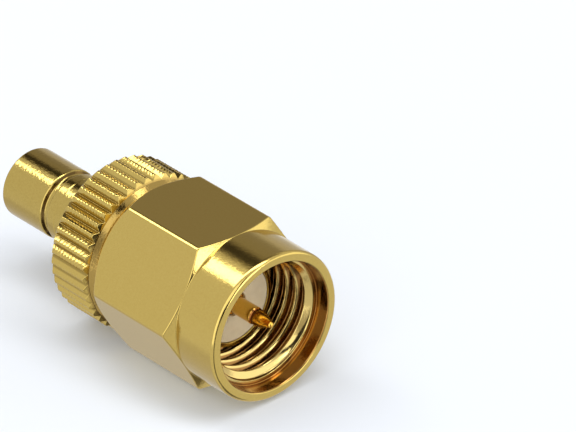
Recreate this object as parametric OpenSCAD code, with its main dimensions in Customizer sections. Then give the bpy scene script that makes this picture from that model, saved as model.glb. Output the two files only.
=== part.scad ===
// Coaxial adapter: SMA plug with a captive hex coupling nut on one end, SMB jack on the other.
// The axis lies along X, with the SMA mouth towards +X. The origin is on the axis in the SMA
// reference plane, where the outer conductors of two mated connectors touch. Z is up, and the
// nut has a flat above and a flat below. All sizes are in millimetres.

/* [Coupling nut] */
// Hexagon across flats
nut_af = 8; // [7.9:0.05:8.4]
// Diameter the hexagon's corners are turned down to
nut_corner_d = 9.16; // [8.9:0.02:9.2]
// Mouth of the nut, ahead of the reference plane
nut_mouth_x = 2.85; // [2.7:0.05:3.1]
// Rear face of the nut, behind the reference plane
nut_rear_x = -5.95; // [-6:0.05:-5.8]
// Diameter of the round collar ahead of the hexagon
collar_d = 7.96; // [7.7:0.02:8]
// Where the hexagon's front chamfer meets the collar
collar_x = 0.15; // [-0.2:0.05:0.6]
// Counterbore at the mouth
counterbore_d = 6.86; // [6.6:0.02:7.1]
// Depth of that counterbore
counterbore_depth = 0.85; // [0.6:0.05:1]
// Minor diameter of the 1/4-36 UNS thread, here a plain bore
thread_minor_d = 5.69; // [5.59:0.01:5.75]

/* [Knurled flange] */
// Diameter over the knurl
knurl_d = 8.36; // [8:0.02:8.6]
// Number of teeth around the knurl
knurl_teeth = 44; // [36:1:56]
// Depth of each straight groove
knurl_depth = 0.25; // [0.1:0.01:0.26]
// Angle between a groove's two flanks
knurl_angle = 90; // [60:2:94]
// Front face of the flange
flange_front_x = -6.45; // [-6.5:0.05:-6.35]
// Rear face of the flange
flange_rear_x = -9.22; // [-9.5:0.02:-9]

/* [Outer conductor] */
// Outer diameter of the SMA sleeve
sleeve_d = 4.57; // [4.5:0.01:4.6]
// Bore for the SMA insulator
sleeve_bore = 4.12; // [4.08:0.01:4.14]
// Neck the nut turns on
neck_d = 5.4; // [5.36:0.01:5.44]
// Radial clearance between neck and nut
nut_clearance = 0.05; // [0.03:0.01:0.08]
// How far the nut can float each way along the axis
nut_float = 0.1; // [0.02:0.02:0.12]

/* [SMB jack] */
// Diameter of the smooth nose
nose_d = 3.72; // [3.66:0.01:3.74]
// Length of the nose, from the end to its rear edge
nose_length = 3.03; // [2.8:0.01:3.1]
// Width of the snap groove behind the nose
groove_width = 0.4; // [0.38:0.01:0.6]
// Smallest diameter in the snap groove, at the middle of its rounded floor
groove_d = 3.44; // [3.4:0.01:3.56]
// Diameter of the stem behind the groove
stem_d = 3.62; // [3.6:0.01:3.64]
// End of the jack
jack_end_x = -15.56; // [-15.8:0.02:-15.4]
// Bore for the SMB insulator
jack_bore = 3.04; // [3:0.01:3.08]

/* [Insulators and centre contact] */
// Socket in the SMB insulator
socket_d = 2.2; // [2.08:0.01:2.3]
// Depth of that socket
socket_depth = 2.7; // [2.4:0.05:3]
// Diameter of the contact behind the SMA pin; with the sleeve bore it sets 50 ohms
contact_d = 1.27; // [1.24:0.01:1.28]
// Diameter of the SMA pin
sma_pin_d = 0.914; // [0.902:0.002:0.94]
// Tip of the SMA pin, ahead of the reference plane
sma_pin_tip_x = 2.65; // [2.5:0.05:2.7]
// Front end of the pin's cylinder, where a shallow groove parts it from the cone
sma_pin_end_x = 1.4; // [1.2:0.05:1.5]
// Diameter of the SMB pin
smb_pin_d = 0.5; // [0.48:0.01:0.53]
// How far the SMB pin's tip stands inside the end
smb_pin_recess = 0.55; // [0.3:0.05:0.8]

/* [Hidden] */
$fn = 96;

gold = [0.85, 0.70, 0.36];
ptfe = [0.90, 0.87, 0.82];
bronze = [0.72, 0.55, 0.30];
slip = 0.01;               // gap left between parts that are pressed together

// coupling nut
corner_r = nut_corner_d / 2;
flat_r = nut_af / 2;
nut_bore = neck_d + 2 * nut_clearance;
collar_round = 0.3;        // rounded outer edge at the mouth
mouth_break = 0.07;
lead_in = 0.35;            // 45 degree lead-in to the thread
thread_end_x = -1.55;
relief_d = 6.4;
relief_end_x = -2.2;
rear_face_r = 3.9;

// retaining ring and its two grooves
ring_x = -3.88;
ring_w = 0.42;
ring_inner_r = 2.5;
ring_outer_r = 2.98;
ring_gap_deg = 34;
nut_groove_r = 3.02;
nut_groove_slack = 0.02;
neck_groove_r = 2.26;
neck_groove_slack = nut_float + 0.03;

// body
neck_x = -2.3;
knurl_front_x = -6.6;
knurl_rear_x = -8.93;
bevel_front_r = 3.9;
bevel_rear_r = 3.86;
web_x = -6.6;
spigot_x = -7.2;

// barrel
jack_round = 0.25;
nose_rear_x = jack_end_x + nose_length;
groove_rear_x = nose_rear_x + groove_width;
groove_edge = 0.07;        // width of the broken edge on each side of the snap groove
land_d = stem_d + 0.04;    // short land between the groove and the stem
land_rear_x = groove_rear_x + 0.51;

// insulators and contact
sma_ptfe_x = -0.05;
sma_ptfe_rear_x = -6;
shoulder_x = -0.2;         // the contact steps down to the pin a little below the insulator's face
pin_groove_w = 0.3;
pin_groove_depth = 0.07;
pin_tip_r = 0.245;         // radius of the ball at the end of the cone
flange_d = 1.9;
shank_d = 0.9;
shank_end_x = jack_end_x + 0.06 + socket_depth + 0.2;
smb_tip_x = jack_end_x + smb_pin_recess;

// Turns a closed outline of [x, radius] points about the X axis.
module turned(outline) {
    rotate([0, 90, 0])
        rotate_extrude()
            polygon([for (p = outline) [p[1], p[0]]]);
}

// Points of a quarter round from an axial face to a cylinder. side is +1 where the face looks
// towards +X, and -1 where it looks towards -X.
function edge_round(x, r, size, side, steps = 6) =
    [for (i = [0 : steps]) let (a = 90 * i / steps)
        [x - side * size * (1 - cos(a)), r - size * (1 - sin(a))]];

// Points of a groove with a rounded floor. r is the radius in its middle, and the ends stand
// higher by depth.
function round_groove(x0, x1, r, depth, steps = 8) =
    [for (i = [0 : steps]) let (t = i / steps)
        [x0 + t * (x1 - x0), r + depth * pow(2 * t - 1, 2)]];

// Points of a ball nose on the axis that a cone runs into, from the cone to the tip.
function ball_nose(tip_x, r, cone_angle, steps = 6) =
    [for (i = [0 : steps]) let (a = cone_angle + (90 - cone_angle) * i / steps)
        [tip_x - r + r * sin(a), r * cos(a)]];

function reversed(list) = [for (i = [len(list) - 1 : -1 : 0]) list[i]];

// The outside of the nut as it is turned on the lathe, before the flats are taken into account.
module nut_blank() {
    front_rise = 0.5 * (corner_r - flat_r);
    turned(concat(
        [[nut_rear_x, 0], [nut_rear_x, rear_face_r],
         [nut_rear_x + corner_r - rear_face_r, corner_r],
         [collar_x - front_rise, corner_r],
         [collar_x, flat_r], [collar_x + 0.02, collar_d / 2]],
        reversed(edge_round(nut_mouth_x, collar_d / 2, collar_round, 1)),
        [[nut_mouth_x, 0]]));
}

// Hexagonal bar with a flat above and below.
module hex_bar() {
    translate([nut_rear_x - 1, 0, 0])
        rotate([0, 90, 0])
            rotate([0, 0, 30])
                cylinder(h = nut_mouth_x - nut_rear_x + 2, d = nut_af / cos(30), $fn = 6);
}

// Everything bored out of the nut: counterbore, lead-in, thread, relief, ring groove, neck.
module nut_bores() {
    minor_r = thread_minor_d / 2;
    cb_x = nut_mouth_x - counterbore_depth;
    groove_x0 = ring_x - nut_groove_slack;
    groove_x1 = ring_x + ring_w + nut_groove_slack;
    turned([[nut_rear_x - 1, 0], [nut_rear_x - 1, nut_bore / 2], [groove_x0, nut_bore / 2],
            [groove_x0, nut_groove_r], [groove_x1, nut_groove_r], [groove_x1, nut_bore / 2],
            [relief_end_x, nut_bore / 2], [relief_end_x, relief_d / 2],
            [thread_end_x - 0.2, relief_d / 2], [thread_end_x, minor_r],
            [cb_x - lead_in, minor_r], [cb_x, minor_r + lead_in],
            [cb_x, counterbore_d / 2], [nut_mouth_x - mouth_break, counterbore_d / 2],
            [nut_mouth_x + 0.1, counterbore_d / 2 + mouth_break + 0.1],
            [nut_mouth_x + 0.1, 0]]);
}

module coupling_nut() {
    color(gold)
        difference() {
            intersection() {
                nut_blank();
                union() {
                    hex_bar();
                    // the collar is round, so the hexagon stops where it starts
                    translate([collar_x, 0, 0])
                        rotate([0, 90, 0])
                            cylinder(h = nut_mouth_x - collar_x, d = nut_corner_d);
                }
            }
            nut_bores();
        }
}

// Open spring ring that keeps the nut on the body.
module retaining_ring() {
    reach = ring_outer_r + 1;
    half = tan(ring_gap_deg / 2) * reach;
    color(bronze)
        difference() {
            turned([[ring_x, ring_inner_r], [ring_x, ring_outer_r],
                    [ring_x + ring_w, ring_outer_r], [ring_x + ring_w, ring_inner_r]]);
            translate([ring_x - 1, 0, 0])
                rotate([90, 0, 90])
                    linear_extrude(ring_w + 2)
                        polygon([[0, 0], [half, reach], [-half, reach]]);
        }
}

// Cross-section of the knurl: a star whose valleys are the groove floors. Its points stand above
// the turned diameter, so the blank leaves each tooth with a flat-topped land.
module knurl_star() {
    valley_r = knurl_d / 2 - knurl_depth;
    step = 360 / knurl_teeth;
    // the flanks of two neighbouring grooves meet half a tooth further round
    half = step / 2;
    flank = knurl_angle / 2;
    peak_r = valley_r * sin(flank) / sin(flank - half);
    polygon([for (i = [0 : knurl_teeth - 1], k = [0, 1])
        let (a = (i + (k + 1) / 2) * step, r = k == 0 ? valley_r : peak_r)
        [r * cos(a), r * sin(a)]]);
}

// Knurled flange, with its ends bevelled by smooth cones that the grooves run out through.
module flange() {
    knurl_r = knurl_d / 2;
    intersection() {
        turned([[flange_front_x, 0], [flange_front_x, bevel_front_r], [knurl_front_x, knurl_r],
                [knurl_rear_x, knurl_r], [flange_rear_x, bevel_rear_r], [flange_rear_x, 0]]);
        translate([flange_rear_x - 1, 0, 0])
            rotate([0, 90, 0])
                linear_extrude(flange_front_x - flange_rear_x + 2)
                    knurl_star();
    }
}

// SMA sleeve and the neck that carries the nut, as a solid bar.
module front_bar() {
    groove_x0 = ring_x - neck_groove_slack;
    groove_x1 = ring_x + ring_w + neck_groove_slack;
    neck_r = neck_d / 2;
    sleeve_r = sleeve_d / 2;
    turned([[flange_front_x - 0.5, 0], [flange_front_x - 0.5, neck_r], [groove_x0, neck_r],
            [groove_x0, neck_groove_r], [groove_x1, neck_groove_r], [groove_x1, neck_r],
            [neck_x - 0.15, neck_r], [neck_x, neck_r - 0.15], [neck_x, sleeve_r],
            [-0.05, sleeve_r], [0, sleeve_r - 0.05], [0, 0]]);
}

module body() {
    bore_r = sleeve_bore / 2;
    web_r = jack_bore / 2;
    spigot_r = stem_d / 2 + slip;
    color(gold)
        difference() {
            union() {
                flange();
                front_bar();
            }
            turned([[web_x, 0], [web_x, bore_r], [1, bore_r], [1, 0]]);
            turned([[spigot_x - 1, 0], [spigot_x - 1, web_r], [web_x + 1, web_r],
                    [web_x + 1, 0]]);
            turned([[flange_rear_x - 1, 0], [flange_rear_x - 1, spigot_r],
                    [spigot_x, spigot_r], [spigot_x, 0]]);
        }
}

// SMB outer conductor: a tube pressed into the flange, with the snap groove behind its nose.
module smb_barrel() {
    nose_r = nose_d / 2;
    groove_r = groove_d / 2;
    stem_r = stem_d / 2;
    land_r = land_d / 2;
    bore_r = jack_bore / 2;
    edge_r = land_r - 0.01;
    color(gold)
        turned(concat(
            [[spigot_x - slip, bore_r], [jack_end_x + 0.05, bore_r],
             [jack_end_x, bore_r + 0.05]],
            edge_round(jack_end_x, nose_r, jack_round, -1),
            [[nose_rear_x - groove_edge, nose_r]],
            round_groove(nose_rear_x, groove_rear_x, groove_r, edge_r - groove_r),
            [[groove_rear_x + groove_edge, land_r], [land_rear_x, land_r],
             [land_rear_x + 0.05, stem_r], [spigot_x - slip - 0.1, stem_r],
             [spigot_x - slip, stem_r - 0.1]]));
}

module sma_insulator() {
    outer_r = sleeve_bore / 2 - slip;
    hole_r = contact_d / 2 + slip;
    color(ptfe)
        turned([[sma_ptfe_rear_x, hole_r], [sma_ptfe_rear_x, outer_r],
                [sma_ptfe_x, outer_r], [sma_ptfe_x, hole_r]]);
}

module smb_insulator() {
    outer_r = jack_bore / 2 - slip;
    hole_r = shank_d / 2 + slip;
    face_x = jack_end_x + 0.06;
    socket_r = socket_d / 2;
    color(ptfe)
        turned([[web_x - slip, hole_r], [web_x - slip, outer_r], [face_x, outer_r],
                [face_x, socket_r + 0.08], [face_x + 0.08, socket_r],
                [face_x + socket_depth, socket_r], [face_x + socket_depth, hole_r]]);
}

// One turned contact: SMA pin, the shoulder held between the two insulators, and SMB pin.
module centre_contact() {
    pin_r = sma_pin_d / 2;
    contact_r = contact_d / 2;
    tail_r = smb_pin_d / 2;
    cone_x = sma_pin_end_x + pin_groove_w;
    ball_x = sma_pin_tip_x - pin_tip_r;
    // the cone is the tangent from its base's rim to the ball
    reach = ball_x - cone_x;
    cone_angle = atan2(pin_r, reach) - asin(pin_tip_r / norm([reach, pin_r]));
    color(gold)
        turned(concat(
            [[smb_tip_x, 0], [smb_tip_x, tail_r - 0.14], [smb_tip_x + 0.05, tail_r - 0.06],
             [smb_tip_x + 0.16, tail_r], [shank_end_x - 0.1, tail_r],
             [shank_end_x, shank_d / 2], [web_x, shank_d / 2], [web_x, flange_d / 2],
             [sma_ptfe_rear_x - slip, flange_d / 2], [sma_ptfe_rear_x - slip, contact_r],
             [shoulder_x, contact_r], [shoulder_x, pin_r], [sma_pin_end_x - 0.02, pin_r]],
            round_groove(sma_pin_end_x, cone_x - 0.01, pin_r - pin_groove_depth,
                         pin_groove_depth - 0.01),
            [[cone_x, pin_r]],
            ball_nose(sma_pin_tip_x, pin_tip_r, cone_angle)));
}

coupling_nut();
retaining_ring();
body();
smb_barrel();
sma_insulator();
smb_insulator();
centre_contact();
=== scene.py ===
"""Looks of a gold-plated coaxial adapter: SMA plug with a hex coupling nut, SMB jack behind it.

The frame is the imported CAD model: axis along X, SMA mouth towards +X, +Z up. Profiles below are
in millimetres, as in the part's own drawing, and become metres when a mesh is made.
"""
import math

import bpy
import numpy as np
from mathutils import Matrix, Vector

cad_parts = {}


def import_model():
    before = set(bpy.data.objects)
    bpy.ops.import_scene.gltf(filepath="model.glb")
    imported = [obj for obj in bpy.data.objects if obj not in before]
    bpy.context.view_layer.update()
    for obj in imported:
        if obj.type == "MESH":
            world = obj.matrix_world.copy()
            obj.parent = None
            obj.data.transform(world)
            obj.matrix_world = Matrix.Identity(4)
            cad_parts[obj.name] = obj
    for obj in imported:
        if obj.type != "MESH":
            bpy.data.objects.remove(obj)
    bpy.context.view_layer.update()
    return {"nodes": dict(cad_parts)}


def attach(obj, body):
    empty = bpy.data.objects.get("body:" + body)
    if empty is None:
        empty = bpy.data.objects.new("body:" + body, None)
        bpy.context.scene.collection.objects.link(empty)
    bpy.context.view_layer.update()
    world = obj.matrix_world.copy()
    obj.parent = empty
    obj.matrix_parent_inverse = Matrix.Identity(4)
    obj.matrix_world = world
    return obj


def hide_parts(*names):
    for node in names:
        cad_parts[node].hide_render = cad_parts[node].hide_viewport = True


MM = 0.001
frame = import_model()

# rounded corners of the profiles
ARC_STEPS = 4
WIDE_ARC = 0.1          # a rounding wider than this gets WIDE_ARC_STEPS
WIDE_ARC_STEPS = 10
EDGE_SHARE = 0.48       # the most of an edge that the rounding at one of its ends takes

# coupling nut
FLAT_R = 4.0
CORNER_R = 4.575
CORNER_SOFT = 0.03      # how softly a flat goes over into the turned corner
# columns of the mesh in degrees from each corner of the hexagon, close together where it is turned
CORNER_COLUMNS = (0, 0.3, 0.6, 0.8, 0.93, 1.05, 1.25, 1.6, 2.2, 3.2, 4.6)
FLAT_COLUMNS = np.linspace(6.3, 30, 13)
NUT_REAR_X = -5.95
NUT_REAR_R = 3.9
NUT_BORE_R = 2.75
MOUTH_X = 2.85
COLLAR_X = 0.16
COLLAR_R = 3.98
FRONT_SLOPE = 0.5
MOUTH_ROUND = 0.3
COUNTERBORE_R = 3.43
MOUTH_BREAK = 0.07
LEDGE_X = 2.0
LEAD_IN_R = 3.195
THREAD_END_X = -1.55
RELIEF_R = 3.2
RELIEF_END_X = -2.2
RING_GROOVE = (-3.44, -3.90, 3.02)      # x from, x to, radius of its floor

# 1/4-36 UNS internal thread, right-hand
PITCH = 25.4 / 36
MINOR_R = 2.845
MAJOR_R = 3.175
CREST_HALF = 0.045
FLANK_ANGLE = 30
THREAD_SOFT = 0.045     # width over which the thread's edges are rounded
THREAD_SAMPLES = 720    # entries of the table for one pitch
THREAD_ROWS = 30        # rows of the mesh in each pitch
RUNOUT = 0.2            # the helix goes on this far past THREAD_END_X
RUNOUT_SLOPE = 1.75     # rise of the cone from there into the relief

# knurled flange and outer conductor
TEETH = 44
TOOTH_SHIFT = 0.5       # angle of the first groove, in teeth
KNURL_R = 4.18
KNURL_DEPTH = 0.25
GROOVE_HALF = 0.238     # half the width of a groove at its top
GROOVE_COLUMNS = np.array([0.015, 0.12, 0.17, 0.215, 0.232, 0.246, 0.268])  # from its middle
GROOVE_SHIFT = 0.012    # how far a groove is out of its place at most
DEPTH_RANGE = (0.95, 1.0)       # share of KNURL_DEPTH that a groove has
SHALLOWEST = 0.004      # the crests lie this far below KNURL_R
BEAD_PITCH = 0.215      # spacing of the small dents that the knurling wheel left along each crest
BEAD_DEPTH = 0.034
DENT_RANGE = (0.5, 1.0)         # share of BEAD_DEPTH on each side of a groove
DENT_PLACE = 0.235      # where the dents are deepest, from the groove's middle
DENT_SPREAD = 0.045
CREST_DENT = 0.25       # what is left of the dents in the middle of a crest
DENT_DRIFT = 0.25       # how much their phase wanders from row to row, in radians
CHATTER = 0.014         # uneven marks of the wheel on the sides of the teeth
CHATTER_FULL = 0.15     # distance from the groove's middle where they are at their full depth
CREST_CHATTER = 0.3     # what is left of them in the middle of a crest
CHATTER_ROWS = 3        # rows from one mark to the next
CREST_ROWS = 72
CREST_OVERRUN = 0.04    # how far those rows go past each bevel
FLANGE_FRONT_X = -6.45
BOSS_X = -6.17          # face of the smooth shoulder ahead of the flange
BOSS_R = 3.61           # radius there, from which a cone rises to the flange
BEVEL_FRONT_R = 3.9
CREST_FRONT_X = -6.6
CREST_REAR_X = -8.93
BEVEL_REAR_X = -9.22
BEVEL_REAR_R = 3.86
NECK_R = 2.7
NECK_X = -2.3
NECK_GROOVE = (-3.33, -4.01, 2.26)      # x from, x to, radius of its floor
SLEEVE_R = 2.285
SLEEVE_BORE_R = 2.06
SLEEVE_FLOOR_X = -6.6
STEM_SEAT_X = -7.2      # bottom of the hole that holds the barrel's stem
STEM_SLIP = 0.01

# SMB barrel
JACK_END_X = -15.56
NOSE_R = 1.86
NOSE_REAR_X = -12.53
GROOVE_REAR_X = -12.13
GROOVE_R = 1.66
GROOVE_EDGE = 0.07      # length of its broken rear edge
LAND_R = 1.83
LAND_REAR_X = -11.62
STEM_R = 1.81
BARREL_FRONT_X = -7.21
JACK_BORE_R = 1.52
JACK_ROUND = 0.25

# SMA pin
PIN_R = 0.457
PIN_END_X = 1.4
CONE_X = 1.7
PIN_GROOVE_DEPTH = 0.1
PIN_GROOVE_EDGE = 0.01
PIN_TIP_X = 2.65
PIN_TIP_R = 0.18
ROUND_GROOVE_STEPS = 10
PIN_TIP_STEPS = 12

# profiles that are the same all round: x, radius, how far each corner is rounded
SMB_BARREL = (
    (BARREL_FRONT_X, JACK_BORE_R, 0.02),
    (JACK_END_X + 0.05, JACK_BORE_R, 0.02),
    (JACK_END_X, JACK_BORE_R + 0.05, 0.02),
    (JACK_END_X, NOSE_R, JACK_ROUND),
    (NOSE_REAR_X - 0.09, NOSE_R, 0.055),
    (NOSE_REAR_X + 0.07, GROOVE_R, 0.055),
    (GROOVE_REAR_X - 0.1, GROOVE_R, 0.06),
    (GROOVE_REAR_X, LAND_R - 0.01, 0.03),
    (GROOVE_REAR_X + GROOVE_EDGE, LAND_R, 0.05),
    (LAND_REAR_X, LAND_R, 0.03),
    (LAND_REAR_X + 0.05, STEM_R, 0.03),
    (BARREL_FRONT_X - 0.1, STEM_R, 0.02),
    (BARREL_FRONT_X, STEM_R - 0.1, 0.02),
)
SMA_INSULATOR = (
    (-6.0, 0.645, 0.03),
    (-6.0, 2.05, 0.06),
    (-0.05, 2.05, 0.06),
    (-0.05, 0.645, 0.03),
)
SMB_INSULATOR = (
    (-6.61, 0.46, 0.03),
    (-6.61, 1.51, 0.05),
    (-15.50, 1.51, 0.05),
    (-15.50, 1.18, 0.03),
    (-15.42, 1.10, 0.03),
    (-12.80, 1.10, 0.06),
    (-12.80, 0.46, 0.03),
)
# from the tip of the SMB pin to the groove of the SMA pin
CONTACT_REAR = (
    (-15.01, 0, None),
    (-15.01, 0.11, 0.05),
    (-14.96, 0.19, 0.04),
    (-14.85, 0.25, 0.05),
    (-12.70, 0.25, 0.03),
    (-12.60, 0.45, 0.03),
    (-6.60, 0.45, 0.02),
    (-6.60, 0.95, 0.02),
    (-6.01, 0.95, 0.02),
    (-6.01, 0.635, 0.02),
    (-0.2, 0.635, 0.03),
    (-0.2, PIN_R, 0.02),
    (PIN_END_X - 0.02, PIN_R, 0.02),
)
ROUND_COLUMNS = 180
CONTACT_COLUMNS = 96
SEED = 36


# ---------------------------------------------------------------- meshes

def level(x, r, count):
    """One corner of a profile, the same at every angle."""
    return np.stack([np.broadcast_to(x, count), np.broadcast_to(r, count)], 1).astype(float)


def levels(profile, count):
    """Corners for rounded() from a profile of (x, radius, size)."""
    return [(level(x, r, count), size) for x, r, size in profile]


def rounded(corners, closed=True):
    """Rows of a profile whose corners are rounded by circular arcs.

    corners is a list of (points, size): points is (columns, 2) in x and radius, and size is how
    far the rounding reaches along both neighbours. A size of None keeps the points as they are.
    """
    rows = []
    n = len(corners)
    for i, (p, size) in enumerate(corners):
        if not size or (not closed and i in (0, n - 1)):
            rows.append(p)
            continue
        a, b = corners[i - 1][0] - p, corners[(i + 1) % n][0] - p
        la = np.linalg.norm(a, axis=1, keepdims=True)
        lb = np.linalg.norm(b, axis=1, keepdims=True)
        ua, ub = a / la, b / lb
        e = np.minimum(size, EDGE_SHARE * np.minimum(la, lb))
        weight = np.sqrt((1 - (ua * ub).sum(1, keepdims=True)) / 2)
        steps = WIDE_ARC_STEPS if size > WIDE_ARC else ARC_STEPS
        for t in np.linspace(0, 1, steps + 1):
            wa, wp, wb = (1 - t) ** 2, 2 * t * (1 - t) * weight, t * t
            rows.append((wa * (p + ua * e) + wp * p + wb * (p + ub * e)) / (wa + wp + wb))
    return np.array(rows)


def turned_piece(name, rows, theta, material, closed=True):
    """A mesh from rows of (x, radius) at the angles theta, round the X axis.

    A closed profile gives a ring of faces, and an open one starts and ends on the axis.
    """
    n_rows, n_cols = rows.shape[:2]
    x, r = rows[..., 0], rows[..., 1]
    verts = np.stack([x, r * np.cos(theta), r * np.sin(theta)], 2).reshape(-1, 3) * MM
    index = np.arange(n_rows * n_cols).reshape(n_rows, n_cols)
    if not closed:
        index[0, :] = index[0, 0]
        index[-1, :] = index[-1, 0]
    below = index if closed else index[:-1]
    above = np.roll(index, -1, 0) if closed else index[1:]
    quads = np.stack([below, np.roll(below, -1, 1), np.roll(above, -1, 1), above], 2)
    quads = quads.reshape(-1, 4)
    used, flat = np.unique(quads, return_inverse=True)
    verts, quads = verts[used], flat.reshape(-1, 4)

    corner = verts[quads]
    cross = np.cross(corner[:, 2] - corner[:, 0], corner[:, 3] - corner[:, 1]) / 2
    if (corner.mean(1) * cross).sum() < 0:
        quads, cross = quads[:, ::-1], -cross
    normals = np.zeros_like(verts)
    for k in range(4):
        np.add.at(normals, quads[:, k], cross)
    normals /= np.maximum(np.linalg.norm(normals, axis=1, keepdims=True), 1e-30)
    faces = [list(dict.fromkeys(q)) for q in quads.tolist()]

    mesh = bpy.data.meshes.new(name)
    mesh.from_pydata(verts.tolist(), [], faces)
    mesh.polygons.foreach_set("use_smooth", np.ones(len(faces), bool))
    mesh.update()
    mesh.normals_split_custom_set_from_vertices(normals.tolist())
    mesh.materials.append(material)
    piece = bpy.data.objects.new(name, mesh)
    bpy.context.scene.collection.objects.link(piece)
    return piece


def even(columns):
    """Angles of columns that are spaced evenly round the axis."""
    return np.linspace(0, 2 * math.pi, columns, endpoint=False)


# ---------------------------------------------------------------- coupling nut

def nut_columns():
    """Angles round the nut, close together at the six turned corners."""
    side = np.concatenate([CORNER_COLUMNS, FLAT_COLUMNS])
    sector = np.concatenate([-side[1:-1][::-1], side])
    return np.radians(np.concatenate([60 * k + sector for k in range(6)]) % 360)


def hex_radius(theta):
    """Outside of the hexagon, with its corners turned down and the edges slightly soft."""
    off = np.degrees(theta) % 60 - 30
    flat = FLAT_R / np.cos(np.radians(off))
    blend = np.clip(0.5 + 0.5 * (flat - CORNER_R) / CORNER_SOFT, 0, 1)
    return flat * (1 - blend) + CORNER_R * blend - CORNER_SOFT * blend * (1 - blend)


def thread_table():
    """Radius of the thread over one pitch, with small rounded edges."""
    t = np.arange(THREAD_SAMPLES) / THREAD_SAMPLES
    away = np.abs(t - 0.5) * PITCH
    rise = (away - CREST_HALF) / math.tan(math.radians(FLANK_ANGLE))
    r = MINOR_R + np.clip(rise, 0, MAJOR_R - MINOR_R)
    width = int(THREAD_SOFT / PITCH * THREAD_SAMPLES) | 1
    kernel = np.hanning(width + 2)[1:-1]
    kernel /= kernel.sum()
    return np.convolve(np.tile(r, 3), kernel, "same")[THREAD_SAMPLES:2 * THREAD_SAMPLES]


def thread_radius(x, theta, table):
    """Radius of the helix at x and each angle."""
    phase = ((x - PITCH * theta / (2 * math.pi)) / PITCH) % 1
    place = phase * len(table)
    low = place.astype(int) % len(table)
    part = place - np.floor(place)
    return table[low] * (1 - part) + table[(low + 1) % len(table)] * part


def smooth_max(a, b, soft):
    """The larger of two radii, with the line where they cross rounded over soft."""
    h = np.clip(0.5 + 0.5 * (a - b) / soft, 0, 1)
    return b * (1 - h) + a * h + soft * h * (1 - h)


def nut_rows(theta):
    n = len(theta)
    r_hex = hex_radius(theta)
    table = thread_table()
    corners = [
        (level(NUT_REAR_X, NUT_BORE_R, n), 0.05),
        (level(NUT_REAR_X, NUT_REAR_R, n), 0.03),
        (level(NUT_REAR_X + r_hex - NUT_REAR_R, r_hex, n), 0.06),
        (level(COLLAR_X - FRONT_SLOPE * (r_hex - COLLAR_R), r_hex, n), 0.06),
        (level(COLLAR_X, COLLAR_R, n), 0.03),
        (level(MOUTH_X, COLLAR_R, n), MOUTH_ROUND),
        (level(MOUTH_X, COUNTERBORE_R + MOUTH_BREAK, n), 0.03),
        (level(MOUTH_X - MOUTH_BREAK, COUNTERBORE_R, n), 0.03),
        (level(LEDGE_X, COUNTERBORE_R, n), 0.04),
    ]
    start, stop = LEDGE_X, THREAD_END_X - RUNOUT
    count = int((start - stop) / PITCH * THREAD_ROWS)
    for x in np.linspace(start, stop, count):
        r = thread_radius(x, theta, table)
        r = smooth_max(r, LEAD_IN_R - (LEDGE_X - x), 0.03)
        r = smooth_max(r, MINOR_R + (THREAD_END_X - x) * RUNOUT_SLOPE, 0.02)
        corners.append((level(x, r, n), None))
    corners += [
        (level(RELIEF_END_X, RELIEF_R, n), 0.05),
        (level(RELIEF_END_X, NUT_BORE_R, n), 0.03),
        (level(RING_GROOVE[0], NUT_BORE_R, n), 0.02),
        (level(RING_GROOVE[0], RING_GROOVE[2], n), 0.02),
        (level(RING_GROOVE[1], RING_GROOVE[2], n), 0.02),
        (level(RING_GROOVE[1], NUT_BORE_R, n), 0.02),
    ]
    return rounded(corners)


# ---------------------------------------------------------------- knurled body

def knurl_columns(rng):
    """Angles round the flange, and at each: depth, dents, their phase, chatter and tooth side."""
    places = np.concatenate([-GROOVE_COLUMNS[::-1], [0], GROOVE_COLUMNS])
    step = 2 * math.pi / TEETH
    columns = []
    for k in range(TEETH):
        shift = rng.uniform(-GROOVE_SHIFT, GROOVE_SHIFT)
        deep = KNURL_DEPTH * rng.uniform(*DEPTH_RANGE)
        phases = rng.uniform(0, 2 * math.pi, 2)
        dents = rng.uniform(*DENT_RANGE, 2)
        middle = (k + TOOTH_SHIFT) * step
        for s in places:
            groove = max(0.0, 1 - abs(s) / GROOVE_HALF)
            edge = math.exp(-((abs(s) - DENT_PLACE) / DENT_SPREAD) ** 2)
            after = int(s > 0)
            chatter = min(1, abs(s) / CHATTER_FULL)
            columns.append((middle + (s + shift) / KNURL_R, max(deep * groove, SHALLOWEST),
                            dents[after] * edge, phases[after], chatter, 2 * k + after))
        columns.append((middle + step / 2, SHALLOWEST, CREST_DENT, phases[1], CREST_CHATTER,
                        2 * k + 1))
    return np.array(columns).T


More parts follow.
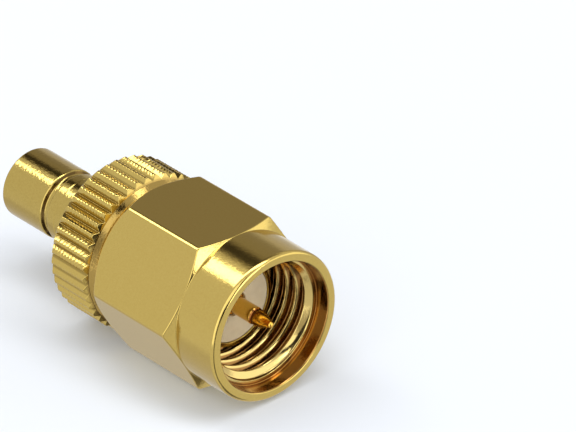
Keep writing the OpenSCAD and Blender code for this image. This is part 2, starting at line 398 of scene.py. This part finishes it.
def body_rows(theta, depth, dent, phase, chatter, side, rng):
    n = len(theta)
    r = KNURL_R - depth
    front_run = (FLANGE_FRONT_X - CREST_FRONT_X) / (KNURL_R - BEVEL_FRONT_R)
    rear_run = (CREST_REAR_X - BEVEL_REAR_X) / (KNURL_R - BEVEL_REAR_R)
    front_x = CREST_FRONT_X + (KNURL_R - r) * front_run
    rear_x = CREST_REAR_X - (KNURL_R - r) * rear_run
    corners = [
        (level(0, SLEEVE_BORE_R, n), 0.02),
        (level(0, SLEEVE_R, n), 0.05),
        (level(NECK_X, SLEEVE_R, n), None),
        (level(NECK_X, NECK_R, n), None),
        (level(NECK_GROOVE[0], NECK_R, n), None),
        (level(NECK_GROOVE[0], NECK_GROOVE[2], n), None),
        (level(NECK_GROOVE[1], NECK_GROOVE[2], n), None),
        (level(NECK_GROOVE[1], NECK_R, n), None),
        (level(BOSS_X, NECK_R, n), None),
        (level(BOSS_X, BOSS_R, n), 0.03),
        (level(FLANGE_FRONT_X, BEVEL_FRONT_R, n), 0.02),
        (level(front_x, r, n), 0.03),
    ]
    wander = np.cumsum(rng.normal(0, DENT_DRIFT, CREST_ROWS))
    marks = rng.uniform(0, 1, (CREST_ROWS // CHATTER_ROWS + 2, 2 * TEETH))
    for i, drift in enumerate(wander):
        t = (i + 1) / (CREST_ROWS + 1)
        x = front_x - CREST_OVERRUN + t * (rear_x - front_x + 2 * CREST_OVERRUN)
        wave = 0.5 + 0.5 * np.cos(2 * math.pi * x / BEAD_PITCH + phase + drift)
        low_mark, part = divmod(i, CHATTER_ROWS)
        part = part / CHATTER_ROWS
        mark = (marks[low_mark] * (1 - part) + marks[low_mark + 1] * part)[side]
        low = r - BEAD_DEPTH * dent * wave - CHATTER * chatter * mark
        corners.append((level(x, low, n), None))
    corners += [
        (level(rear_x, r, n), 0.03),
        (level(BEVEL_REAR_X, BEVEL_REAR_R, n), 0.03),
        (level(BEVEL_REAR_X, STEM_R + STEM_SLIP, n), None),
        (level(STEM_SEAT_X, STEM_R + STEM_SLIP, n), None),
        (level(STEM_SEAT_X, JACK_BORE_R, n), None),
        (level(SLEEVE_FLOOR_X, JACK_BORE_R, n), None),
        (level(SLEEVE_FLOOR_X, SLEEVE_BORE_R, n), None),
    ]
    return rounded(corners)


# ---------------------------------------------------------------- contact

def round_groove(x0, x1, r, depth, n):
    """Rows of a groove with a rounded floor of radius r, whose ends stand higher by depth."""
    return [(level(x0 + t * (x1 - x0), r + depth * (2 * t - 1) ** 2, n), None)
            for t in np.linspace(0, 1, ROUND_GROOVE_STEPS + 1)]


def contact_rows(n):
    corners = [
        *levels(CONTACT_REAR, n),
        *round_groove(PIN_END_X, CONE_X - PIN_GROOVE_EDGE, PIN_R - PIN_GROOVE_DEPTH,
                      PIN_GROOVE_DEPTH - PIN_GROOVE_EDGE, n),
        (level(CONE_X, PIN_R, n), 0.02),
    ]
    # the cone is the tangent from its base's rim to the ball at the tip
    reach = PIN_TIP_X - PIN_TIP_R - CONE_X
    angle = math.atan2(PIN_R, reach) - math.asin(PIN_TIP_R / math.hypot(reach, PIN_R))
    for a in np.linspace(angle, math.pi / 2, PIN_TIP_STEPS):
        x = PIN_TIP_X - PIN_TIP_R + PIN_TIP_R * math.sin(a)
        corners.append((level(x, PIN_TIP_R * math.cos(a), n), None))
    return rounded(corners, closed=False)


# ---------------------------------------------------------------- materials

# scales of the noise in the gold: cells to a metre, so larger is finer
TONE_SCALE = 9000
BLOTCH_SCALE = 2500
PIT_SCALE = 6500
RING_SCALE = 22000
# and in the fluoropolymer
CLOUD_SCALE = 1600
SHEEN_SCALE = 5000
SKIN_SCALE = 9000
CUT_SCALE = 14000
SKIN_HEIGHT = 2.0e-6            # of its bumps, in metres
NOISE_RANGE = (0.3, 0.7)        # where nearly all of a noise lies
ZONE_SOFT = 0.03                # half the width of a zone's edge, in millimetres


def new_material(name):
    material = bpy.data.materials.new(name)
    material.use_nodes = True
    nodes, links = material.node_tree.nodes, material.node_tree.links
    nodes.clear()
    out = nodes.new("ShaderNodeOutputMaterial")
    shader = nodes.new("ShaderNodeBsdfPrincipled")
    links.new(shader.outputs[0], out.inputs[0])
    return material, nodes, links, shader


def noise(nodes, links, vector, scale, detail=3.0, roughness=0.55):
    node = nodes.new("ShaderNodeTexNoise")
    node.inputs["Scale"].default_value = scale
    node.inputs["Detail"].default_value = detail
    node.inputs["Roughness"].default_value = roughness
    links.new(vector, node.inputs["Vector"])
    return node.outputs["Fac"]


def spread(nodes, links, value, low, high):
    """Maps a noise, which stays near 0.5, to low..high."""
    node = nodes.new("ShaderNodeMapRange")
    node.inputs["From Min"].default_value = NOISE_RANGE[0]
    node.inputs["From Max"].default_value = NOISE_RANGE[1]
    node.inputs["To Min"].default_value = low
    node.inputs["To Max"].default_value = high
    links.new(value, node.inputs["Value"])
    return node.outputs["Result"]


def math_node(nodes, links, operation, *values):
    node = nodes.new("ShaderNodeMath")
    node.operation = operation
    for socket, value in zip(node.inputs, values):
        if isinstance(value, (int, float)):
            socket.default_value = value
        else:
            links.new(value, socket)
    return node.outputs[0]


def smooth_step(nodes, links, value, start, end):
    """0 below start and 1 above end."""
    ramp = nodes.new("ShaderNodeMapRange")
    ramp.interpolation_type = "SMOOTHSTEP"
    ramp.inputs["From Min"].default_value = start
    ramp.inputs["From Max"].default_value = end
    links.new(value, ramp.inputs["Value"])
    return ramp.outputs["Result"]


def lathe_coordinates(nodes, links, point):
    """(x, radius, 0): what stays the same along a line left by a turning tool."""
    split = nodes.new("ShaderNodeSeparateXYZ")
    links.new(point, split.inputs[0])
    flat = nodes.new("ShaderNodeCombineXYZ")
    links.new(split.outputs["Y"], flat.inputs["Y"])
    links.new(split.outputs["Z"], flat.inputs["Z"])
    length = nodes.new("ShaderNodeVectorMath")
    length.operation = "LENGTH"
    links.new(flat.outputs[0], length.inputs[0])
    joined = nodes.new("ShaderNodeCombineXYZ")
    links.new(split.outputs["X"], joined.inputs["X"])
    links.new(length.outputs["Value"], joined.inputs["Y"])
    return joined.outputs[0]


def bump(nodes, links, height, distance, before=None):
    node = nodes.new("ShaderNodeBump")
    node.inputs["Strength"].default_value = 1.0
    node.inputs["Distance"].default_value = distance
    links.new(height, node.inputs["Height"])
    if before is not None:
        links.new(before, node.inputs["Normal"])
    return node.outputs["Normal"]


def mix_colours(nodes, links, factor, first, second):
    """first where factor is 0, and second where it is 1."""
    mix = nodes.new("ShaderNodeMix")
    mix.data_type = "RGBA"
    mix.inputs["A"].default_value = (*first, 1)
    mix.inputs["B"].default_value = (*second, 1)
    links.new(factor, mix.inputs["Factor"])
    return mix.outputs["Result"]


def ring_mask(nodes, links, place, limits):
    """1 in the ring from x0 to x1 and from radius r0 to r1, in millimetres, and 0 outside."""
    mask = None
    for axis, low, high in (("X", *limits[:2]), ("Y", *limits[2:])):
        value = place.outputs[axis]
        inside = math_node(
            nodes, links, "SUBTRACT",
            smooth_step(nodes, links, value, (low - ZONE_SOFT) * MM, (low + ZONE_SOFT) * MM),
            smooth_step(nodes, links, value, (high - ZONE_SOFT) * MM, (high + ZONE_SOFT) * MM))
        mask = inside if mask is None else math_node(nodes, links, "MULTIPLY", mask, inside)
    return mask


def gold(name, light, dark, rough, grain, turning, painted_zones=()):
    """Bright gold plate over turned metal.

    grain is the height of the fine pits that break up the edge of a highlight, and turning that
    of the tool's rings, both in metres. painted_zones lists rings where shade or a highlight is
    painted into the colour: (x from, to, radius from, to) in millimetres, and the colour there.
    """
    material, nodes, links, shader = new_material(name)
    point = nodes.new("ShaderNodeTexCoord").outputs["Object"]
    tone = spread(nodes, links, noise(nodes, links, point, TONE_SCALE, 4, 0.7), 0, 1)
    colour = mix_colours(nodes, links, tone, dark, light)
    lathe = lathe_coordinates(nodes, links, point)
    place = nodes.new("ShaderNodeSeparateXYZ")
    links.new(lathe, place.inputs[0])
    # each zone's colour replaces the gold's there: painted shade, or a painted highlight
    for limits, painted_colour in painted_zones:
        painted_mix = nodes.new("ShaderNodeMix")
        painted_mix.data_type = "RGBA"
        links.new(ring_mask(nodes, links, place, limits), painted_mix.inputs["Factor"])
        links.new(colour, painted_mix.inputs["A"])
        painted_mix.inputs["B"].default_value = (*painted_colour, 1)
        colour = painted_mix.outputs["Result"]
    links.new(colour, shader.inputs["Base Color"])
    blotch = noise(nodes, links, point, BLOTCH_SCALE, 3)
    links.new(spread(nodes, links, blotch, *rough), shader.inputs["Roughness"])
    normal = bump(nodes, links, noise(nodes, links, lathe, RING_SCALE, 2), turning)
    pits = noise(nodes, links, point, PIT_SCALE, 2, 0.6)
    normal = bump(nodes, links, pits, grain, normal)
    links.new(normal, shader.inputs["Normal"])
    shader.inputs["Metallic"].default_value = 1.0
    return material


def fluoropolymer(name, light, dark):
    """Slightly cloudy, waxy plastic with the rings that the cutting tool left."""
    material, nodes, links, shader = new_material(name)
    point = nodes.new("ShaderNodeTexCoord").outputs["Object"]
    cloud = spread(nodes, links, noise(nodes, links, point, CLOUD_SCALE, 5), 0, 1)
    links.new(mix_colours(nodes, links, cloud, dark, light), shader.inputs["Base Color"])
    sheen = noise(nodes, links, point, SHEEN_SCALE, 2)
    links.new(spread(nodes, links, sheen, 0.42, 0.6), shader.inputs["Roughness"])
    rings = noise(nodes, links, lathe_coordinates(nodes, links, point), CUT_SCALE, 2)
    normal = bump(nodes, links, rings, SKIN_HEIGHT)
    skin = noise(nodes, links, point, SKIN_SCALE, 3)
    normal = bump(nodes, links, skin, SKIN_HEIGHT, normal)
    links.new(normal, shader.inputs["Normal"])
    shader.inputs["IOR"].default_value = 1.38
    shader.inputs["Subsurface Weight"].default_value = 0.25
    shader.inputs["Subsurface Radius"].default_value = (1.0, 0.8, 0.6)
    shader.inputs["Subsurface Scale"].default_value = 0.0003
    return material


# ---------------------------------------------------------------- studio

FLOOR_COLOUR = (0.63, 0.665, 0.72)
FLOOR_MOTTLE = 0.995            # brightness of its darker patches
FLOOR_GRAIN = 40
FLOOR_FADE = (0.022, 0.09)      # distances from the origin between which it turns white
NEAR_WHITE = 0.1                # how white it is made near the object, for the camera alone
OPEN_TO_METAL = 0.9             # share of glossy rays that pass through it
FLOOR_Z = -4.18 * MM            # the knurl stands on it
FLOOR_HALF = 1.5


def floor_material():
    """Matt paper that keeps the shadow and turns white away from the object.

    Polished metal sees the even surroundings there.
    """
    material, nodes, links, shader = new_material("floor_paper")
    out = shader.outputs[0].links[0].to_socket
    point = nodes.new("ShaderNodeTexCoord").outputs["Object"]
    patches = noise(nodes, links, point, FLOOR_GRAIN)
    darker = [c * FLOOR_MOTTLE for c in FLOOR_COLOUR]
    links.new(mix_colours(nodes, links, patches, FLOOR_COLOUR, darker), shader.inputs["Base Color"])
    shader.inputs["Roughness"].default_value = 0.9
    shader.inputs["Specular IOR Level"].default_value = 0.2
    path = nodes.new("ShaderNodeLightPath")
    open_floor = nodes.new("ShaderNodeBsdfTransparent")
    lit = nodes.new("ShaderNodeEmission")
    lift = nodes.new("ShaderNodeMixShader")
    away = nodes.new("ShaderNodeVectorMath")
    away.operation = "LENGTH"
    links.new(point, away.inputs[0])
    far = smooth_step(nodes, links, away.outputs["Value"], *FLOOR_FADE)
    white = math_node(nodes, links, "MULTIPLY_ADD", far, 1 - NEAR_WHITE, NEAR_WHITE)
    links.new(math_node(nodes, links, "MULTIPLY", path.outputs["Is Camera Ray"], white),
              lift.inputs[0])
    links.new(shader.outputs[0], lift.inputs[1])
    links.new(lit.outputs[0], lift.inputs[2])
    blend = nodes.new("ShaderNodeMixShader")
    links.new(math_node(nodes, links, "MULTIPLY", path.outputs["Is Glossy Ray"], OPEN_TO_METAL),
              blend.inputs[0])
    links.new(lift.outputs[0], blend.inputs[1])
    links.new(open_floor.outputs[0], blend.inputs[2])
    links.new(blend.outputs[0], out)
    return material


def floor():
    mesh = bpy.data.meshes.new("floor")
    corners = [(x * FLOOR_HALF, y * FLOOR_HALF, FLOOR_Z)
               for x, y in ((-1, -1), (1, -1), (1, 1), (-1, 1))]
    mesh.from_pydata(corners, [], [(0, 1, 2, 3)])
    mesh.materials.append(floor_material())
    piece = bpy.data.objects.new("floor", mesh)
    bpy.context.scene.collection.objects.link(piece)


def direction(azimuth, elevation):
    """Unit vector; azimuth is from +X towards +Y."""
    a, e = math.radians(azimuth), math.radians(elevation)
    return np.array([math.cos(a) * math.cos(e), math.sin(a) * math.cos(e), math.sin(e)])


def softbox(name, centre, across, upward, width, height, radiance):
    """A flat rectangular light that the camera doesn't see.

    radiance is what it looks like in a perfect mirror. across and upward are square to each
    other, and it shines away from their cross product.
    """
    light = bpy.data.lights.new(name, "AREA")
    light.shape = "RECTANGLE"
    light.size, light.size_y = width, height
    light.energy = radiance * math.pi * width * height
    lamp = bpy.data.objects.new(name, light)
    bpy.context.scene.collection.objects.link(lamp)
    x, y = Vector(across).normalized(), Vector(upward).normalized()
    turn = Matrix((x, y, x.cross(y))).transposed().to_4x4()
    lamp.matrix_world = Matrix.Translation(Vector(centre)) @ turn
    lamp.visible_camera = False


# the two softboxes: centre and size in metres, turn in degrees
OVERHEAD_CENTRE = (-0.0165, 0.019, 0.3)
OVERHEAD_SIZE = (0.63, 0.098)
OVERHEAD_TURN = 25
OVERHEAD_RADIANCE = 4.5
FRONT_CENTRE = (0.2, 0.045, 0.014)
FRONT_SIZE = (0.1, 0.08)
FRONT_RADIANCE = 3.0

WORLD_LEVEL = 0.92
DARK_TINT = (1, 0.86, 0.72)     # the darker a part of the surroundings, the closer it is to this
# panels and gaps round the object: azimuth from, to, elevation from, to and soft edge in
# degrees, brightness
PANELS = (
    (92, 160, -14, 38, 12, 0.62),
    (80, 156, 44, 78, 12, 0.30),
    (-88, -46, -18, 62, 4, 2.0),
    (-47, -35, -16, 14, 5, 0.6),
    (-36, -18, -40, 17, 4, 0.04),
    (-19, -2, -8, 48, 4, 0.04),
    (-46, -17, 21, 62, 4, 1.9),
    (1, 72, 0, 24, 5, 1.8),
    (-44, -18, -66, -38, 6, 0.12),
    (-25, 50, -84, -55, 5, 0.15),
    (100, 181, -80, -26, 12, 0.70),
    (-181, -128, -80, -32, 12, 0.72),
)
# round spots: azimuth, elevation, half width and soft edge in degrees, brightness
SPOTS = (
    (150, 44, 10, 11, 0.06),
    (138, 30, 8, 12, 0.36),
)


def world():
    """White surroundings with the panels and dark gaps that give polished metal its contrast."""
    scene_world = bpy.data.worlds.new("studio")
    bpy.context.scene.world = scene_world
    scene_world.use_nodes = True
    nodes, links = scene_world.node_tree.nodes, scene_world.node_tree.links
    nodes.clear()
    out = nodes.new("ShaderNodeOutputWorld")
    background = nodes.new("ShaderNodeBackground")
    links.new(background.outputs[0], out.inputs[0])
    point = nodes.new("ShaderNodeTexCoord").outputs["Generated"]
    unit = nodes.new("ShaderNodeVectorMath")
    unit.operation = "NORMALIZE"
    links.new(point, unit.inputs[0])
    split = nodes.new("ShaderNodeSeparateXYZ")
    links.new(unit.outputs[0], split.inputs[0])
    azimuth = math_node(nodes, links, "ARCTAN2", split.outputs["Y"], split.outputs["X"])
    elevation = math_node(nodes, links, "ARCSINE", split.outputs["Z"])
    masks = []
    for *limits, soft, brightness in PANELS:
        half = math.radians(soft) / 2
        mask = None
        for value, low, high in ((azimuth, *limits[:2]), (elevation, *limits[2:])):
            low, high = math.radians(low), math.radians(high)
            inside = math_node(
                nodes, links, "SUBTRACT",
                smooth_step(nodes, links, value, low - half, low + half),
                smooth_step(nodes, links, value, high - half, high + half))
            mask = inside if mask is None else math_node(nodes, links, "MULTIPLY", mask, inside)
        masks.append((mask, brightness))
    for spot_azimuth, spot_elevation, half, soft, brightness in SPOTS:
        dot = nodes.new("ShaderNodeVectorMath")
        dot.operation = "DOT_PRODUCT"
        dot.inputs[1].default_value = direction(spot_azimuth, spot_elevation)
        links.new(unit.outputs[0], dot.inputs[0])
        masks.append((smooth_step(nodes, links, dot.outputs["Value"],
                                  math.cos(math.radians(half + soft)),
                                  math.cos(math.radians(half))), brightness))
    strength = WORLD_LEVEL
    for mask, brightness in masks:
        mix = nodes.new("ShaderNodeMix")
        links.new(mask, mix.inputs["Factor"])
        if isinstance(strength, float):
            mix.inputs["A"].default_value = strength
        else:
            links.new(strength, mix.inputs["A"])
        mix.inputs["B"].default_value = brightness
        strength = mix.outputs["Result"]
    links.new(strength, background.inputs["Strength"])
    level_share = math_node(nodes, links, "MULTIPLY", strength, 1 / WORLD_LEVEL)
    links.new(mix_colours(nodes, links, level_share, DARK_TINT, (1, 1, 1)),
              background.inputs["Color"])


# where the photograph was taken from, found from the circles of the mouth, nose and flange:
# angles in degrees, the distance from the mouth's centre and the shift of the camera in millimetres
VIEW_AZIMUTH = 48.522
VIEW_ELEVATION = 30.879
VIEW_DISTANCE = 344.641
VIEW_RIGHT = 0.617
VIEW_UP = 5.371
LENS = 447.57
SENSOR = 36


def camera():
    """The photograph's camera, at its angle and distance."""
    a, e = math.radians(VIEW_AZIMUTH), math.radians(VIEW_ELEVATION)
    back = Vector((math.sin(a) * math.cos(e), -math.cos(a) * math.cos(e), math.sin(e)))
    right = Vector((math.cos(a), math.sin(a), 0))
    up = back.cross(right)
    data = bpy.data.cameras.new("camera")
    data.sensor_width = SENSOR
    data.lens = LENS
    data.clip_start, data.clip_end = 0.01, 10
    obj = bpy.data.objects.new("camera", data)
    bpy.context.scene.collection.objects.link(obj)
    place = Vector((MOUTH_X, 0, 0)) + VIEW_DISTANCE * back + VIEW_RIGHT * right + VIEW_UP * up
    turn = Matrix((right, up, back)).transposed().to_4x4()
    obj.matrix_world = Matrix.Translation(place * MM) @ turn
    bpy.context.scene.camera = obj


# ---------------------------------------------------------------- build

GOLD_LIGHT = (0.585, 0.435, 0.125)
GOLD_DARK = (0.545, 0.395, 0.105)
BARREL_LIGHT = [0.9 * c for c in GOLD_LIGHT]
BARREL_DARK = [0.85 * c for c in GOLD_DARK]
CONTACT_LIGHT = (0.74, 0.45, 0.08)
CONTACT_DARK = (0.66, 0.39, 0.065)
# rings of the nut where shade, and on the crests a highlight, are painted into the gold
NUT_PAINTED_SHADE_AND_HIGHLIGHT = (
    ((-8, 4, -1, 3.46), (0.60, 0.45, 0.16)),            # bore and crests of the thread, painted paler as a painted highlight
    ((1.95, 4, 3.3, 3.47), (0.33, 0.165, 0.04)),        # counterbore, painted red-brown shade
    ((-8, 1.6, 2.96, 3.3), (0.26, 0.135, 0.04)),        # roots of the thread, painted red-brown shade
)
BODY_PAINTED_SHADE = (
    ((-6.5, -5.0, 2.6, 4.0), (0.40, 0.27, 0.075)),      # painted shade in the gap behind the nut
    ((-9.1, -6.52, 3.8, 4.01), (0.36, 0.255, 0.07)),    # painted shade in the bottoms of the knurl's grooves
)
BARREL_PAINTED_SHADE = (
    ((NOSE_REAR_X - 0.055, NOSE_REAR_X + 0.055, -1, 1.845),
     (0.14, 0.085, 0.025)),                             # painted shade on the front wall of the snap groove
)
CONTACT_PAINTED_SHADE = (
    ((PIN_END_X, CONE_X - 0.02, -1, 0.44), (0.28, 0.11, 0.03)),     # painted shade in the pin's groove
)

rng = np.random.default_rng(SEED)
gold_nut = gold("gold_plate_nut", GOLD_LIGHT, GOLD_DARK, (0.10, 0.15), 3.8e-6, 1.2e-7,
                painted_zones=NUT_PAINTED_SHADE_AND_HIGHLIGHT)
gold_body = gold("gold_plate_body", GOLD_LIGHT, GOLD_DARK, (0.10, 0.16), 5.0e-6, 1.5e-7,
                 painted_zones=BODY_PAINTED_SHADE)
gold_barrel = gold("gold_plate_barrel", BARREL_LIGHT, BARREL_DARK, (0.07, 0.11), 8.5e-6, 2.0e-7,
                   painted_zones=BARREL_PAINTED_SHADE)
gold_contact = gold("gold_plate_contact", CONTACT_LIGHT, CONTACT_DARK, (0.10, 0.16), 1.5e-6,
                    1.5e-7, painted_zones=CONTACT_PAINTED_SHADE)
white = fluoropolymer("fluoropolymer", (0.80, 0.735, 0.68), (0.74, 0.67, 0.61))
# the same plastic painted darker and gold-tinted: painted shade and painted bounce light for the
# insulator deep in the mouth
shaded_white = fluoropolymer("fluoropolymer_painted_shade", (0.72, 0.59, 0.38), (0.65, 0.53, 0.335))

theta = nut_columns()
nut = turned_piece("coupling_nut_visual", nut_rows(theta), theta, gold_nut)
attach(nut, "nut")
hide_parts("coupling_nut")

theta, depth, dent, phase, chatter, side = knurl_columns(rng)
rows = body_rows(theta, depth, dent, phase, chatter, side.astype(int), rng)
body = turned_piece("body_visual", rows, theta, gold_body)
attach(body, "adapter_body")
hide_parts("body")

theta = even(ROUND_COLUMNS)
barrel = turned_piece("smb_barrel_visual", rounded(levels(SMB_BARREL, ROUND_COLUMNS)), theta,
                      gold_barrel)
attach(barrel, "adapter_body")
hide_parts("smb_barrel")

sma_ptfe = turned_piece("sma_insulator_visual", rounded(levels(SMA_INSULATOR, ROUND_COLUMNS)),
                        theta, shaded_white)
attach(sma_ptfe, "adapter_body")
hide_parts("sma_insulator")

smb_ptfe = turned_piece("smb_insulator_visual", rounded(levels(SMB_INSULATOR, ROUND_COLUMNS)),
                        theta, white)
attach(smb_ptfe, "adapter_body")
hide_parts("smb_insulator")

theta = even(CONTACT_COLUMNS)
contact = turned_piece("centre_contact_visual", contact_rows(CONTACT_COLUMNS), theta,
                       gold_contact, closed=False)
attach(contact, "adapter_body")
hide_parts("centre_contact")

bronze = gold("spring_bronze", (0.42, 0.27, 0.12), (0.34, 0.21, 0.09), (0.3, 0.42), 1.2e-6,
              3e-7)
ring = frame["nodes"]["retaining_ring"]
ring.data.materials.clear()
ring.data.materials.append(bronze)

floor()
world()
turn = math.radians(OVERHEAD_TURN)
softbox("overhead", OVERHEAD_CENTRE, (math.cos(turn), math.sin(turn), 0),
        (-math.sin(turn), math.cos(turn), 0), *OVERHEAD_SIZE, OVERHEAD_RADIANCE)
softbox("front_panel", FRONT_CENTRE, (0, 1, 0), (0, 0, 1), *FRONT_SIZE, FRONT_RADIANCE)
camera()
bpy.context.scene.view_settings.view_transform = "Standard"
